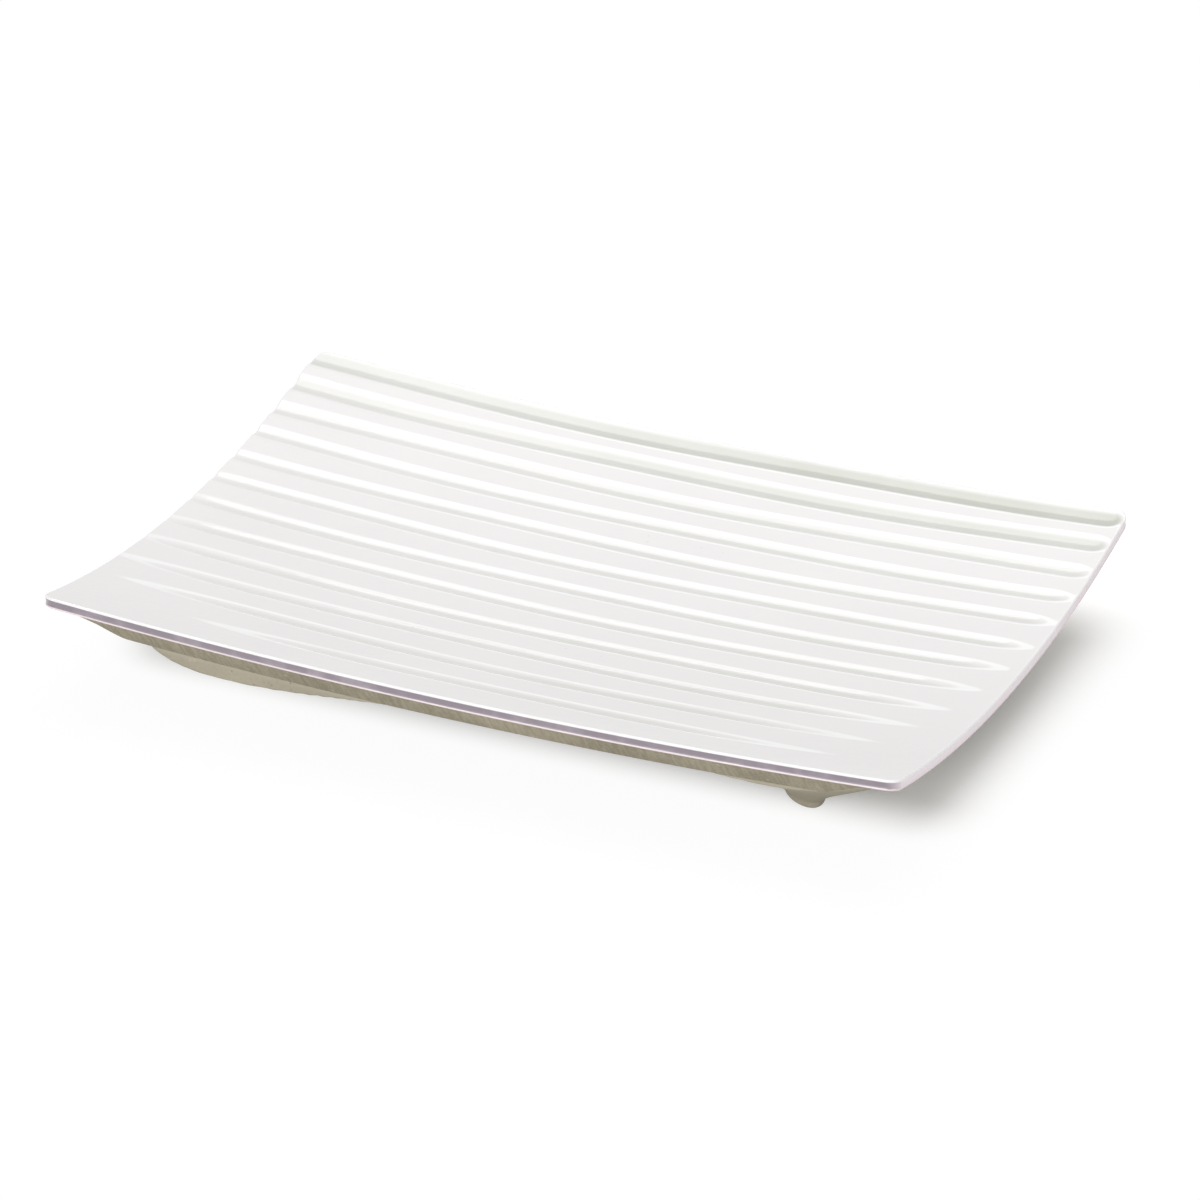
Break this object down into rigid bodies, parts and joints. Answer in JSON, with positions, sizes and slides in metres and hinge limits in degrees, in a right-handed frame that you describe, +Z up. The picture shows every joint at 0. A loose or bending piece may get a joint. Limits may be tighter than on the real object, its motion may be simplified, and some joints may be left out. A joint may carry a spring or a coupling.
{
  "type": "soap dish",
  "caption": "Rectangular ceramic soap dish, gently dished both ways, with long shallow drainage grooves on top, a thin upright rim and flared stub feet with soft pads underneath.",
  "frame": {"origin": "on the surface that the dish stands on, under the middle of the tray", "axes": "+X along the tray's length to the right, +Y to the back, +Z up"},
  "size_m": [0.145, 0.098, 0.0198],
  "materials": {
    "glazed_ware": "gloss",
    "bare_clay": "matte",
    "soft_pad": "matte"
  },
  "bodies": {
    "root": {"tray": "glazed_ware", "foot_front_left": "bare_clay", "foot_front_right": "bare_clay", "foot_back_left": "bare_clay", "foot_back_right": "bare_clay", "foot_pad_front_left": "soft_pad", "foot_pad_front_right": "soft_pad", "foot_pad_back_left": "soft_pad", "foot_pad_back_right": "soft_pad"}
  },
  "joints": []
}
